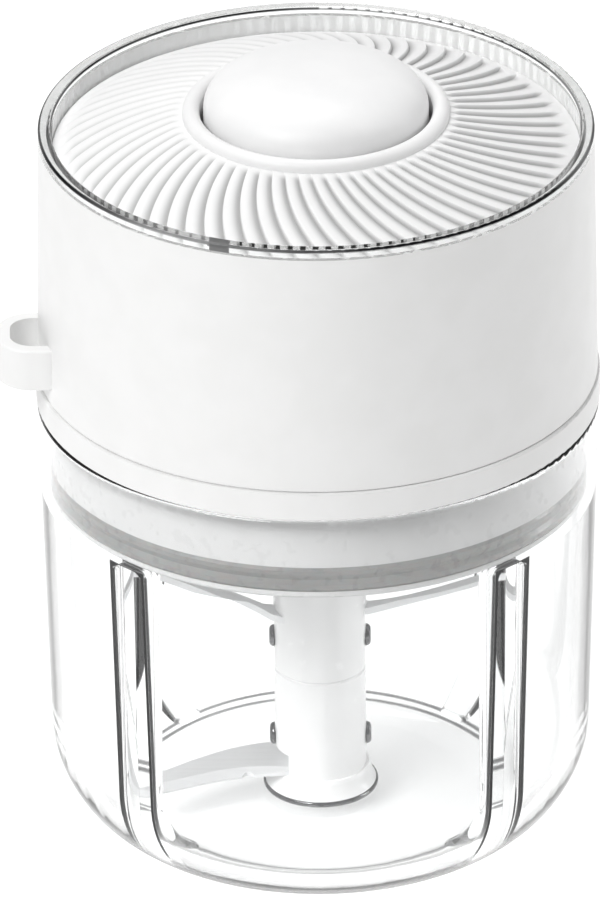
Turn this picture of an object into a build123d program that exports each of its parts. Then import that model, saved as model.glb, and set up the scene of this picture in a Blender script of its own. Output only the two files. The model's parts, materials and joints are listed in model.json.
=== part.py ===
from build123d import *
import math
import os

# Rechargeable mini chopper: a clear bowl, a three-armed blade unit and a push-button motor head.
# Millimetres, +Z up, origin at the centre of the bowl's underside. The front is -Y, the back +Y.

# ---- driving dimensions -------------------------------------------------------------------------
BOWL_TOP_R = 41.65
BOWL_FOOT_R = 39.6
BOWL_TOP_Z = 69.8
BOWL_CORNER_R = 17.0
BOWL_FLOOR_Z = 4.0
BOWL_FLOOR_R = 28.9
BOWL_MOUTH_R = 39.45
RIB_WIDTH = 5.8
RIB_TOP_Z = 55.6
RIB_CREST_R = 34.5
RIB_FOOT_R = 27.6
RIB_COUNT = 4
RIB_ROUND = 1.7

PIN_R = 2.0
PIN_TOP_Z = 40.0
RUNNING_GAP = 0.06

HUB_R = 6.86
HUB_FOOT_Z = 8.1
HUB_JOINT_Z = 24.3
HUB_TOP_Z = 55.4
HUB_FLAT_X = 4.8
HEX_HALF = 4.3
HEX_DEPTH = 6.2
FOOT_RING_Z = 4.5
FLANGE_Z = 5.3
FLANGE_R = 8.3
FOOT_RING_LIP = 0.3
LOWER_BLADE_T = 1.1
UPPER_BLADE_T = 1.1
BLADE_EYE_GAP = 0.3
UPPER_BLADE_Z = 33.2
UPPER_BLADE_TILT = 20.5
RIVET_R = 1.65
RIVET_HEAD = 0.75
RIVET_SHANK_R = 0.9
RIVET_DEEP_X = 3.0
RIVET_LEVELS = [12.6, 29.0]

PLUG_R = 38.9
PLUG_WALL = 2.0
PLUG_FOOT_Z = 56.1
PLUG_PAN_Z = PLUG_FOOT_Z + PLUG_WALL
SEAL_Z = 57.2
SEAL_TOP_Z = 61.2
SEAL_R = 39.15
SEAL_SEAT_R = 37.8
SHOULDER_Z = 70.0
SHOULDER_LAP_Z = 73.0
CHASSIS_Z = 70.6
SHOULDER_R = 41.75
HOUSING_Z = 74.5
HOUSING_FOOT_R = 41.45
HOUSING_TOP_R = 41.0
HOUSING_TOP_Z = 112.4
RIM_TOP_Z = 114.0
RIM_INNER_R = 39.0
RIM_LAP = 0.75
RIM_SEAT_Z = 108.2
DECK_LEDGE_Z = 107.4
DECK_LEDGE_R = 37.0

DECK_R = 38.9
DECK_EDGE_Z = 110.0
DECK_CREST_Z = 115.9
DECK_WALL = 1.6
COLLAR_R = 19.7
VANE_COUNT = 66
VANE_HEIGHT = 0.45
VANE_SWEEP = 17.0

WELL_R = 17.2
WELL_FLOOR_Z = 112.0
BUTTON_R = 16.6
BUTTON_TOP_Z = 123.2
BUTTON_WALL = 1.65
BUTTON_BOSS_R = 7.2
BUTTON_SKIRT_Z = 114.6
STEM_R = 3.0
STEM_FOOT_Z = 110.0
SPRING_TOP_Z = 119.4
SWITCH_PIN_Z = 106.0
SWITCH_PIN_R = 1.8
DECK_FLOOR_Z = 110.6

MOTOR_R = 12.2
MOTOR_Z = 72.6
MOTOR_TOP_Z = 98.6
MOTOR_SCREW_R = 8.0
MOTOR_WALL = 1.0
CELL_R = 9.15
CELL_X = 25.5
CELL_H = 34.6
BOARD_Z = 101.2
BOARD_T = 1.6
PIN_SEAT_Z = 1.6

GEAR_MODULE = 0.6
SUN_TEETH = 12
PLANET_TEETH = 15
RING_TEETH = 42
PLANET_COUNT = 3
GEAR_Z = 64.9
GEAR_FACE = 4.3
SHAFT_R = 3.0
SHAFT_FOOT_Z = 50.6
DRIVER_FOOT_Z = 49.8
DRIVER_H = 5.9
CARRIER_Z = 63.0
CARRIER_T = 1.6
RING_FOOT_Z = 62.6
MOTOR_SHAFT_R = 1.0
ROTOR_FOOT_Z = 65.2
BUSH_R = 5.0

SOCKET_Z = 84.0
SOCKET_BACK_Y = 32.6
FLAP_OUT_R = 41.25
FLAP_IN_R = 40.3

JOINT_BEVEL = 0.28
SMALL = 0.01

os.makedirs("parts", exist_ok=True)


def save(builder, name):
    """Label a finished piece and write it to its own STEP file."""
    builder.part.label = name
    export_step(builder.part, f"parts/{name}.step")


def ring_sketch(outer, inner):
    """A flat ring centred on the axis, added to the sketch being built."""
    Circle(outer)
    Circle(inner, mode=Mode.SUBTRACT)


def outer_circle(builder, level):
    """The largest circular edge at the bottom (level 0) or the top (level -1) of a piece."""
    circles = builder.edges().filter_by(GeomType.CIRCLE)
    return circles.group_by(Axis.Z)[level].sort_by(SortBy.RADIUS)[-1]


# ---- bowl -----------------------------------------------------------------------------------------
INNER_CORNER_Z = 16.5
INNER_CORNER_R = 37.75

with BuildPart() as bowl_cavity:
    with BuildSketch(Plane.XZ):
        with BuildLine():
            seal_land = Line((BOWL_MOUTH_R, BOWL_TOP_Z + 1), (BOWL_MOUTH_R, SEAL_Z - 2))
            wall = Line(seal_land @ 1, (INNER_CORNER_R, INNER_CORNER_Z))
            heel = TangentArc(wall @ 1, (BOWL_FLOOR_R, BOWL_FLOOR_Z), tangent=wall % 1)
            floor = Line(heel @ 1, (0, BOWL_FLOOR_Z))
            axis_line = Line(floor @ 1, (0, BOWL_TOP_Z + 1))
            Line(axis_line @ 1, seal_land @ 0)
        make_face()
    revolve(axis=Axis.Z)

with BuildPart() as rib_form:
    with BuildSketch(Plane.XZ):
        with BuildLine():
            crest = Line((RIB_CREST_R, RIB_TOP_Z), (RIB_CREST_R - 0.2, INNER_CORNER_Z + 1))
            foot = TangentArc(crest @ 1, (RIB_FOOT_R, BOWL_FLOOR_Z), tangent=crest % 1)
            Polyline(
                foot @ 1,
                (RIB_FOOT_R, BOWL_FLOOR_Z - 3),
                (BOWL_TOP_R + 2, BOWL_FLOOR_Z - 3),
                (BOWL_TOP_R + 2, RIB_TOP_Z),
                crest @ 0,
            )
        make_face()
    extrude(amount=RIB_WIDTH / 2, both=True)
    side = RIB_WIDTH / 2
    upright = rib_form.edges().filter_by_position(Axis.Y, side - SMALL, side + SMALL)
    upright += rib_form.edges().filter_by_position(Axis.Y, -side - SMALL, -side + SMALL)
    crest_edges = upright.filter_by_position(Axis.X, RIB_FOOT_R + 0.5, RIB_CREST_R + SMALL)
    top_edges = upright.filter_by_position(Axis.Z, RIB_TOP_Z - SMALL, RIB_TOP_Z + SMALL)
    fillet(crest_edges + top_edges, radius=RIB_ROUND)

with BuildPart() as ribbed_cavity:
    add(bowl_cavity.part)
    with PolarLocations(0, RIB_COUNT, start_angle=45):
        add(rib_form.part, mode=Mode.SUBTRACT)

with BuildPart() as bowl:
    with BuildSketch(Plane.XZ):
        with BuildLine():
            outside = FilletPolyline(
                (0, 0), (BOWL_FOOT_R, 0), (BOWL_TOP_R, BOWL_TOP_Z), radius=BOWL_CORNER_R
            )
            Polyline(outside @ 1, (0, BOWL_TOP_Z), outside @ 0)
        make_face()
    revolve(axis=Axis.Z)
    fillet(outer_circle(bowl, -1), radius=0.7)
    add(ribbed_cavity.part, mode=Mode.SUBTRACT)
    with BuildSketch(Plane.XY.offset(PIN_SEAT_Z)):
        Circle(PIN_R)
    extrude(amount=BOWL_FLOOR_Z, mode=Mode.SUBTRACT)
save(bowl, "bowl")

with BuildPart() as bowl_pivot_pin:
    with BuildSketch(Plane.XY.offset(PIN_SEAT_Z)):
        Circle(PIN_R)
    extrude(amount=PIN_TOP_Z - PIN_SEAT_Z)
    fillet(bowl_pivot_pin.edges().group_by(Axis.Z)[-1], radius=1.2)
save(bowl_pivot_pin, "bowl_pivot_pin")


# ---- blade unit -----------------------------------------------------------------------------------
def lower_blade_outline():
    """Plan of the single lower arm: straight shank, swept cutting edge and clipped tip."""
    root = 4.6
    with BuildLine() as outline:
        back = Spline((-7.0, 3.4), (-14.0, 1.2), (-20.0, -2.6), (-24.4, -6.2), (-27.5, -10.4))
        shank_back = Line((0, root), back @ 0)
        tip = Line(back @ 1, (-28.5, -12.0))
        edge = Spline(tip @ 1, (-21.9, -9.7), (-16.9, -7.5), (-11.7, -5.9))
        choil = ThreePointArc(edge @ 1, (-10.9, -5.1), (-10.0, -5.5))
        shank_front = Line(choil @ 1, (0, -root))
        ThreePointArc(shank_front @ 1, (root, 0), shank_back @ 0)
    make_face(outline.edges())
    Circle(PIN_R + BLADE_EYE_GAP, mode=Mode.SUBTRACT)


def upper_blade_outline():
    """Plan of the two-armed blade: each arm narrows behind a hollow edge, then keeps its width."""
    with BuildLine() as outline:
        trailing = Line((6.7, -1.5), (25.0, -4.6))
        tip = Line(trailing @ 1, (26.7, -0.8))
        leading = Spline(tip @ 1, (20.0, -0.2), (13.9, 0.7), (6.7, 3.6))
        left_trailing = Line((-6.7, 1.5), (-25.0, 4.6))
        left_tip = Line(left_trailing @ 1, (-26.7, 0.8))
        left_leading = Spline(left_tip @ 1, (-20.0, 0.2), (-13.9, -0.7), (-6.7, -3.6))
        ThreePointArc(leading @ 1, (0, 5.2), left_trailing @ 0)
        ThreePointArc(left_leading @ 1, (0, -5.2), trailing @ 0)
    make_face(outline.edges())
    Circle(PIN_R + BLADE_EYE_GAP, mode=Mode.SUBTRACT)


BEVEL_WIDTH = 1.5
BEVEL_DROP = 0.75

with BuildPart() as lower_blade:
    with BuildSketch(Plane.XY.offset(HUB_FOOT_Z)):
        lower_blade_outline()
    extrude(amount=LOWER_BLADE_T)
    top = lower_blade.edges().group_by(Axis.Z)[-1]
    cutting_edge = top.filter_by_position(Axis.X, -25, -15).sort_by(Axis.Y)[0]
    top_face = lower_blade.faces().sort_by(Axis.Z)[-1]
    chamfer(cutting_edge, length=BEVEL_WIDTH, length2=BEVEL_DROP, reference=top_face)
save(lower_blade, "lower_blade")

with BuildPart() as upper_blade:
    rise = math.tan(math.radians(UPPER_BLADE_TILT))
    bend_x = HUB_R + 0.4
    arm_x = 34.0
    arm_z = (arm_x - bend_x) * rise
    with BuildSketch(Plane.XZ.offset(-12)):
        with Locations((0, UPPER_BLADE_Z)):
            Polygon(
                (-arm_x, arm_z),
                (-bend_x, 0),
                (bend_x, 0),
                (arm_x, arm_z),
                (arm_x, arm_z + UPPER_BLADE_T),
                (bend_x, UPPER_BLADE_T),
                (-bend_x, UPPER_BLADE_T),
                (-arm_x, arm_z + UPPER_BLADE_T),
                align=None,
            )
    extrude(amount=24)
    with BuildSketch(Plane.XY.offset(UPPER_BLADE_Z - 2)):
        upper_blade_outline()
    extrude(amount=20, mode=Mode.INTERSECT)
save(upper_blade, "upper_blade")

with BuildPart() as blade_hub_lower:
    with BuildSketch(Plane.XY.offset(HUB_FOOT_Z)):
        ring_sketch(HUB_R, PIN_R + RUNNING_GAP)
    extrude(amount=HUB_JOINT_Z - HUB_FOOT_Z)
    chamfer(outer_circle(blade_hub_lower, -1), length=JOINT_BEVEL)
    with BuildSketch(Plane.XY.offset(HUB_FOOT_Z)):
        with Locations((-HUB_R, 0)):
            Rectangle(2 * (HUB_R - HUB_FLAT_X), 2 * HUB_R)
    extrude(amount=3.2, mode=Mode.SUBTRACT)
    add(lower_blade.part, mode=Mode.SUBTRACT)
    with BuildSketch(Plane.YZ):
        with Locations((0, RIVET_LEVELS[0])):
            Circle(RIVET_SHANK_R)
    extrude(amount=HUB_R + 1, both=True, mode=Mode.SUBTRACT)
save(blade_hub_lower, "blade_hub_lower")

with BuildPart() as blade_hub_upper:
    with BuildSketch(Plane.XY.offset(HUB_JOINT_Z)):
        Circle(HUB_R)
    extrude(amount=HUB_TOP_Z - HUB_JOINT_Z)
    chamfer(outer_circle(blade_hub_upper, 0), length=JOINT_BEVEL)
    chamfer(outer_circle(blade_hub_upper, -1), length=0.6)
    with BuildSketch(Plane.XY.offset(HUB_JOINT_Z)):
        Circle(PIN_R + RUNNING_GAP)
    extrude(amount=PIN_TOP_Z + 2 - HUB_JOINT_Z, mode=Mode.SUBTRACT)
    with BuildSketch(Plane.XY.offset(HUB_TOP_Z)):
        RegularPolygon(HEX_HALF, 6, major_radius=False)
    extrude(amount=-HEX_DEPTH, mode=Mode.SUBTRACT)
    add(upper_blade.part, mode=Mode.SUBTRACT)
    with BuildSketch(Plane.YZ):
        with Locations((0, RIVET_LEVELS[1])):
            Circle(RIVET_SHANK_R)
    extrude(amount=HUB_R + 1, both=True, mode=Mode.SUBTRACT)
save(blade_hub_upper, "blade_hub_upper")

with BuildPart() as hub_flange:
    with BuildSketch(Plane.XZ):
        with BuildLine():
            lip = Line((7.25, HUB_FOOT_Z), (7.45, HUB_FOOT_Z - 0.5))
            flare = TangentArc(lip @ 1, (FLANGE_R, FLANGE_Z), tangent=(0.15, -1))
            Polyline(
                flare @ 1,
                (PIN_R + RUNNING_GAP, FLANGE_Z),
                (PIN_R + RUNNING_GAP, HUB_FOOT_Z),
                lip @ 0,
            )
        make_face()
    revolve(axis=Axis.Z)
save(hub_flange, "hub_flange")

with BuildPart() as hub_foot_ring:
    with BuildSketch(Plane.XY.offset(FOOT_RING_Z)):
        ring_sketch(FLANGE_R + FOOT_RING_LIP, PIN_R + RUNNING_GAP)
    extrude(amount=FLANGE_Z - FOOT_RING_Z)
    fillet([outer_circle(hub_foot_ring, 0), outer_circle(hub_foot_ring, -1)], radius=FOOT_RING_LIP)
save(hub_foot_ring, "hub_foot_ring")

with BuildPart() as blade_rivets:
    head_x = HUB_R + RIVET_HEAD
    for level in RIVET_LEVELS:
        with BuildSketch(Plane.YZ.offset(RIVET_DEEP_X)):
            with Locations((0, level)):
                Circle(RIVET_SHANK_R)
        extrude(amount=HUB_R - RIVET_DEEP_X)
        with BuildSketch(Plane.YZ.offset(HUB_R)):
            with Locations((0, level)):
                Circle(RIVET_R)
        extrude(amount=RIVET_HEAD)
        crown = blade_rivets.edges().filter_by(GeomType.CIRCLE)
        crown = crown.filter_by_position(Axis.X, head_x - SMALL, head_x + SMALL)
        fillet(crown.filter_by_position(Axis.Z, level - 0.1, level + 0.1), radius=RIVET_HEAD - 0.05)
    mirror(about=Plane.YZ)
save(blade_rivets, "blade_rivets")


# ---- head: plug, seal and shoulder ---------------------------------------------------------------
SHAFT_BORE_R = 7.0
SCREW_R = 34.0
SCREW_SPOTS = [30, 150, 210, 330]
SCREW_POST_R = 2.6
SCREW_SHANK_R = 1.1

with BuildPart() as bowl_plug:
    with BuildSketch(Plane.XY.offset(PLUG_FOOT_Z)):
        Circle(PLUG_R)
    extrude(amount=SHOULDER_LAP_Z - PLUG_FOOT_Z)
    with BuildSketch(Plane.XY.offset(PLUG_PAN_Z)):
        Circle(PLUG_R - PLUG_WALL)
    extrude(amount=20, mode=Mode.SUBTRACT)
    with BuildSketch(Plane.XY.offset(SEAL_Z)):
        ring_sketch(PLUG_R + 1, SEAL_SEAT_R)
    extrude(amount=SEAL_TOP_Z - SEAL_Z, mode=Mode.SUBTRACT)
    with BuildSketch(Plane.XY.offset(PLUG_FOOT_Z)):
        Circle(SHAFT_BORE_R)
    extrude(amount=PLUG_WALL, mode=Mode.SUBTRACT)
    for spot in SCREW_SPOTS:
        with BuildSketch(Plane.XY.offset(PLUG_PAN_Z)):
            with PolarLocations(SCREW_R, 1, start_angle=spot):
                Circle(SCREW_POST_R)
        extrude(amount=CHASSIS_Z - PLUG_PAN_Z)
        with BuildSketch(Plane.XY.offset(CHASSIS_Z)):
            with PolarLocations(SCREW_R, 1, start_angle=spot):
                Circle(SCREW_SHANK_R)
        extrude(amount=-7.0, mode=Mode.SUBTRACT)
    chamfer(outer_circle(bowl_plug, 0), length=0.4)
save(bowl_plug, "bowl_plug")

with BuildPart() as seal_ring:
    with BuildSketch(Plane.XZ):
        with BuildLine():
            Polyline(
                (SEAL_SEAT_R, SEAL_Z),
                (SEAL_R - 0.35, SEAL_Z),
                (SEAL_R, SEAL_Z + 0.5),
                (SEAL_R, SEAL_Z + 1.2),
                (SEAL_R - 0.3, (SEAL_Z + SEAL_TOP_Z) / 2),
                (SEAL_R, SEAL_TOP_Z - 1.2),
                (SEAL_R, SEAL_TOP_Z - 0.5),
                (SEAL_R - 0.25, SEAL_TOP_Z),
                (SEAL_SEAT_R, SEAL_TOP_Z),
                close=True,
            )
        make_face()
    revolve(axis=Axis.Z)
save(seal_ring, "seal_ring")

with BuildPart() as shoulder_ring:
    with BuildSketch(Plane.XY.offset(SHOULDER_Z)):
        ring_sketch(SHOULDER_R, PLUG_R)
    extrude(amount=HOUSING_Z - SHOULDER_Z)
    with BuildSketch(Plane.XY.offset(SHOULDER_LAP_Z)):
        ring_sketch(PLUG_R + 0.1, PLUG_R - PLUG_WALL)
    extrude(amount=HOUSING_Z - SHOULDER_LAP_Z)
    fillet([outer_circle(shoulder_ring, 0), outer_circle(shoulder_ring, -1)], radius=0.35)
save(shoulder_ring, "shoulder_ring")

# ---- head: housing, lanyard loop, clear rim ------------------------------------------------------
LOOP_Z = 77.2
LOOP_H = 6.5
LOOP_Y = -7.0
LOOP_OUT_X = -47.4
LOOP_WALL = 2.0
LOOP_HALF = 6.5
LOOP_CORNER = 5.3
WALL_FACE_R = 39.1


def loop_outline(wall):
    """Plan of the loop, inset by wall: two legs joined by a round bow, closed inside the housing."""
    length = 12.0
    with Locations((LOOP_OUT_X + wall + length / 2, LOOP_Y)):
        RectangleRounded(length, 2 * (LOOP_HALF - wall), LOOP_CORNER - wall)


with BuildPart() as lanyard_loop:
    with BuildSketch(Plane.XY.offset(LOOP_Z)):
        loop_outline(0)
    extrude(amount=LOOP_H)
    fillet(lanyard_loop.faces().filter_by(Axis.Z).edges(), radius=0.35)
    with BuildSketch(Plane.XY.offset(LOOP_Z)):
        loop_outline(LOOP_WALL)
    extrude(amount=LOOP_H, mode=Mode.SUBTRACT)
    with BuildSketch(Plane.XY.offset(LOOP_Z)):
        Circle(WALL_FACE_R)
    extrude(amount=LOOP_H, mode=Mode.SUBTRACT)

with BuildPart() as flap_recess:
    with BuildSketch(Plane.XZ.offset(-WALL_FACE_R + 1)):
        with Locations((0, SOCKET_Z)):
            RectangleRounded(15.4, 9.4, 1.6)
    extrude(amount=-6)
    with BuildSketch(Plane.XY.offset(SOCKET_Z - 10)):
        Circle(FLAP_IN_R - 0.2)
    extrude(amount=20, mode=Mode.SUBTRACT)

with BuildPart() as motor_housing:
    with BuildSketch(Plane.XZ):
        with BuildLine():
            Polyline(
                (HOUSING_FOOT_R, HOUSING_Z),
                (HOUSING_TOP_R, HOUSING_TOP_Z),
                (RIM_INNER_R + RIM_LAP, HOUSING_TOP_Z),
                (RIM_INNER_R + RIM_LAP, RIM_SEAT_Z),
                (WALL_FACE_R, RIM_SEAT_Z),
                (WALL_FACE_R, DECK_LEDGE_Z),
                (DECK_LEDGE_R, DECK_LEDGE_Z),
                (DECK_LEDGE_R, DECK_LEDGE_Z - 1.0),
                (WALL_FACE_R, DECK_LEDGE_Z - 2.8),
                (WALL_FACE_R, HOUSING_Z),
                close=True,
            )
        make_face()
    revolve(axis=Axis.Z)
    chamfer(outer_circle(motor_housing, 0), length=JOINT_BEVEL)
    with BuildSketch(Plane.XZ.offset(-WALL_FACE_R + 3)):
        with Locations((0, SOCKET_Z)):
            RectangleRounded(11.4, 5.6, 2.4)
    extrude(amount=-10, mode=Mode.SUBTRACT)
    add(flap_recess.part, mode=Mode.SUBTRACT)
    add(lanyard_loop.part, mode=Mode.SUBTRACT)
save(motor_housing, "motor_housing")
save(lanyard_loop, "lanyard_loop")

with BuildPart() as clear_rim:
    with BuildSketch(Plane.XZ):
        with BuildLine():
            Polyline(
                (RIM_INNER_R, RIM_SEAT_Z),
                (RIM_INNER_R, RIM_TOP_Z),
                (HOUSING_TOP_R, RIM_TOP_Z),
                (HOUSING_TOP_R, HOUSING_TOP_Z),
                (RIM_INNER_R + RIM_LAP, HOUSING_TOP_Z),
                (RIM_INNER_R + RIM_LAP, RIM_SEAT_Z),
                close=True,
            )
        make_face()
    revolve(axis=Axis.Z)
    fillet(clear_rim.edges().group_by(Axis.Z)[-1], radius=0.45)
save(clear_rim, "clear_rim")

# ---- head: deck, button well and button ----------------------------------------------------------
DECK_MID_R = 29.3
DECK_MID_Z = 113.45


def deck_skin(lift, thickness):
    """A revolved band that follows the deck's crown, lift above it and thickness deep."""
    with BuildPart() as skin:
        with BuildSketch(Plane.XZ):
            with BuildLine():
                edge = (DECK_R, DECK_EDGE_Z + lift)
                middle = (DECK_MID_R, DECK_MID_Z + lift)
                crest = (COLLAR_R, DECK_CREST_Z + lift)
                crown = ThreePointArc(edge, middle, crest)
                low_edge = (DECK_R, DECK_EDGE_Z + lift - thickness)
                low_middle = (DECK_MID_R, DECK_MID_Z + lift - thickness)
                low_crest = (COLLAR_R, DECK_CREST_Z + lift - thickness)
                under = ThreePointArc(low_crest, low_middle, low_edge)
                Line(crown @ 1, under @ 0)
                Line(under @ 1, crown @ 0)
            make_face()
        revolve(axis=Axis.Z)
    return skin.part


def swirl_point(radius, offset_deg):
    """A point of a vane's centre line: it turns more quickly towards the outside."""
    share = (radius - COLLAR_R) / (DECK_R - COLLAR_R)
    turn = math.radians(VANE_SWEEP * (0.7 * share + 0.3 * share * share) + offset_deg)
    return (radius * math.cos(turn), radius * math.sin(turn))


with BuildSketch() as vane_plan:
    with BuildLine():
        inner_r = COLLAR_R + 1.2
        outer_r = DECK_R - 0.9
        half = 0.9
        near = ThreePointArc(
            swirl_point(inner_r, -half), swirl_point(DECK_MID_R, -half), swirl_point(outer_r, -half)
        )
        far = ThreePointArc(
            swirl_point(outer_r, half), swirl_point(DECK_MID_R, half), swirl_point(inner_r, half)
        )
        Line(near @ 1, far @ 0)
        Line(far @ 1, near @ 0)
    make_face()

with BuildPart() as vanes:
    with BuildSketch(Plane.XY.offset(DECK_EDGE_Z - 2)):
        with PolarLocations(0, VANE_COUNT):
            add(vane_plan.sketch)
    extrude(amount=12)
    add(deck_skin(VANE_HEIGHT, VANE_HEIGHT + 0.2), mode=Mode.INTERSECT)

with BuildPart() as swirl_deck:
    add(deck_skin(0, DECK_WALL))
    with BuildSketch(Plane.XY.offset(DECK_LEDGE_Z)):
        ring_sketch(DECK_R, DECK_R - DECK_WALL)
    extrude(amount=DECK_EDGE_Z - 1.4 - DECK_LEDGE_Z)
    add(vanes.part)
save(swirl_deck, "swirl_deck")

with BuildPart() as button_collar:
    with BuildSketch(Plane.XZ):
        with BuildLine():
            ring_top = 117.4
            outer_wall = Line((COLLAR_R, DECK_FLOOR_Z), (COLLAR_R, ring_top - 1.3))
            crown = ThreePointArc(
                outer_wall @ 1, (COLLAR_R - 1.15, ring_top), (WELL_R, ring_top - 0.9)
            )
            Polyline(
                crown @ 1,
                (WELL_R, WELL_FLOOR_Z),
                (STEM_R + 0.2, WELL_FLOOR_Z),
                (STEM_R + 0.2, DECK_FLOOR_Z),
                outer_wall @ 0,
            )
        make_face()
    revolve(axis=Axis.Z)
save(button_collar, "button_collar")

with BuildPart() as button_cap:
    with BuildSketch(Plane.XZ):
        with BuildLine():
            skirt = Line((BUTTON_R, BUTTON_SKIRT_Z), (BUTTON_R, 116.8))
            dome = Bezier(
                skirt @ 1, (BUTTON_R, 120.9), (12.4, BUTTON_TOP_Z), (0, BUTTON_TOP_Z)
            )
            Polyline(dome @ 1, (0, BUTTON_SKIRT_Z), skirt @ 0)
        make_face()
    revolve(axis=Axis.Z)
    with BuildSketch(Plane.XZ):
        with BuildLine():
            inside_r = BUTTON_R - BUTTON_WALL
            inside_z = BUTTON_TOP_Z - BUTTON_WALL
            inner_skirt = Line((inside_r, BUTTON_SKIRT_Z - 1), (inside_r, 116.6))
            inner_dome = Bezier(
                inner_skirt @ 1, (inside_r, 119.6), (11.4, inside_z), (0, inside_z)
            )
            Polyline(inner_dome @ 1, (0, BUTTON_SKIRT_Z - 1), inner_skirt @ 0)
        make_face()
    revolve(axis=Axis.Z, mode=Mode.SUBTRACT)
    with BuildSketch(Plane.XY.offset(SPRING_TOP_Z)):
        Circle(BUTTON_BOSS_R)
    extrude(amount=BUTTON_TOP_Z - 1.5 - SPRING_TOP_Z)
    with BuildSketch(Plane.XY.offset(STEM_FOOT_Z)):
        Circle(STEM_R)
    extrude(amount=SPRING_TOP_Z - STEM_FOOT_Z + 0.6)
save(button_cap, "button_cap")

with BuildPart() as button_spring:
    wire_r = 0.4
    coil_r = 5.2
    spring_z = WELL_FLOOR_Z + wire_r + 0.02
    spring_h = SPRING_TOP_Z - WELL_FLOOR_Z - 2 * wire_r - 0.04
    with BuildLine():
        coil = Helix(pitch=spring_h / 4.5, height=spring_h, radius=coil_r, center=(0, 0, spring_z))
    with BuildSketch(Plane(origin=coil @ 0, z_dir=coil % 0)):
        Circle(wire_r)
    sweep(path=coil, is_frenet=True)
save(button_spring, "button_spring")

# ---- head: switch, board and charging socket -----------------------------------------------------
with BuildPart() as switch_plunger:
    with BuildSketch(Plane.XY.offset(SWITCH_PIN_Z)):
        Circle(SWITCH_PIN_R)
    extrude(amount=STEM_FOOT_Z - SWITCH_PIN_Z)
save(switch_plunger, "switch_plunger")

with BuildPart() as push_switch:
    with BuildSketch(Plane.XY.offset(BOARD_Z + BOARD_T)):
        Rectangle(8.5, 8.5)
    extrude(amount=5.0)
    chamfer(push_switch.edges().group_by(Axis.Z)[-1], length=0.4)
    with BuildSketch(Plane.XY.offset(BOARD_Z + BOARD_T + 0.8)):
        Circle(SWITCH_PIN_R + RUNNING_GAP)
    extrude(amount=6, mode=Mode.SUBTRACT)
save(push_switch, "push_switch")

POST_R = 30.5
BOARD_R = 33.5

with BuildPart() as circuit_board:
    with BuildSketch(Plane.XY.offset(BOARD_Z)):
        Circle(BOARD_R)
        with PolarLocations(POST_R, 4, start_angle=45):
            Circle(1.2, mode=Mode.SUBTRACT)
        with Locations((0, BOARD_R)):
            Rectangle(22, 10, mode=Mode.SUBTRACT)
    extrude(amount=BOARD_T)
save(circuit_board, "circuit_board")

with BuildPart() as board_parts:
    chips = [
        (14, 4, 7, 5, 1.4),
        (-14, 6, 5, 5, 1.1),
        (-13, -8, 6, 4, 1.8),
        (10, -13, 4, 3, 1.2),
        (17, -5, 3, 2, 1.0),
    ]
    for x, y, length, width, height in chips:
        with BuildSketch(Plane.XY.offset(BOARD_Z + BOARD_T)):
            with Locations((x, y)):
                Rectangle(length, width)
        extrude(amount=height)
    with BuildSketch(Plane.XY.offset(BOARD_Z + BOARD_T)):
        with Locations((0, -16), (7, 17)):
            Circle(3.0)
    extrude(amount=3.4)
save(board_parts, "board_parts")

with BuildPart() as board_screws:
    with BuildSketch(Plane.XY.offset(BOARD_Z + BOARD_T)):
        with PolarLocations(POST_R, 4, start_angle=45):
            Circle(2.0)
    extrude(amount=1.2)
    with BuildSketch(Plane.XY.offset(BOARD_Z + BOARD_T)):
        with PolarLocations(POST_R, 4, start_angle=45):
            Circle(1.0)
    extrude(amount=-7.5)
    with BuildSketch(Plane.XY.offset(BOARD_Z + BOARD_T + 1.2)):
        with PolarLocations(POST_R, 4, start_angle=45):
            Rectangle(2.4, 0.5)
            Rectangle(0.5, 2.4)
    extrude(amount=-0.6, mode=Mode.SUBTRACT)
save(board_screws, "board_screws")

with BuildPart() as charging_socket:
    with BuildSketch(Plane.XZ.offset(-SOCKET_BACK_Y)):
        with Locations((0, SOCKET_Z)):
            RectangleRounded(9.0, 3.4, 1.6)
    extrude(amount=-6.3)
    with BuildSketch(Plane.XZ.offset(-SOCKET_BACK_Y - 1.2)):
        with Locations((0, SOCKET_Z)):
            RectangleRounded(8.4, 2.8, 1.35)
    extrude(amount=-6, mode=Mode.SUBTRACT)
    with BuildSketch(Plane.XZ.offset(-SOCKET_BACK_Y - 0.4)):
        with Locations((0, SOCKET_Z)):
            Rectangle(6.4, 0.7)
    extrude(amount=-4.2)
save(charging_socket, "charging_socket")

with BuildPart() as charge_board:
    with BuildSketch(Plane.XZ.offset(-SOCKET_BACK_Y + 1.4)):
        with Locations((0, SOCKET_Z)):
            Rectangle(16, 14)
    extrude(amount=-1.4)
save(charge_board, "charge_board")

with BuildPart() as socket_cover:
    with BuildSketch(Plane.XZ.offset(-39.5)):
        with Locations((0, SOCKET_Z)):
            RectangleRounded(15.0, 9.0, 1.4)
    extrude(amount=-4)
    with BuildSketch(Plane.XY.offset(SOCKET_Z - 10)):
        ring_sketch(FLAP_OUT_R, FLAP_IN_R)
    extrude(amount=20, mode=Mode.INTERSECT)
    with BuildSketch(Plane.XZ.offset(-39.2)):
        with Locations((0, SOCKET_Z)):
            RectangleRounded(7.0, 1.4, 0.6)
    extrude(amount=-1.3)
save(socket_cover, "socket_cover")

# ---- head: chassis, motor and cells --------------------------------------------------------------
CUP_FLOOR_Z = 60.4
CELL_Z = 61.4

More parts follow.
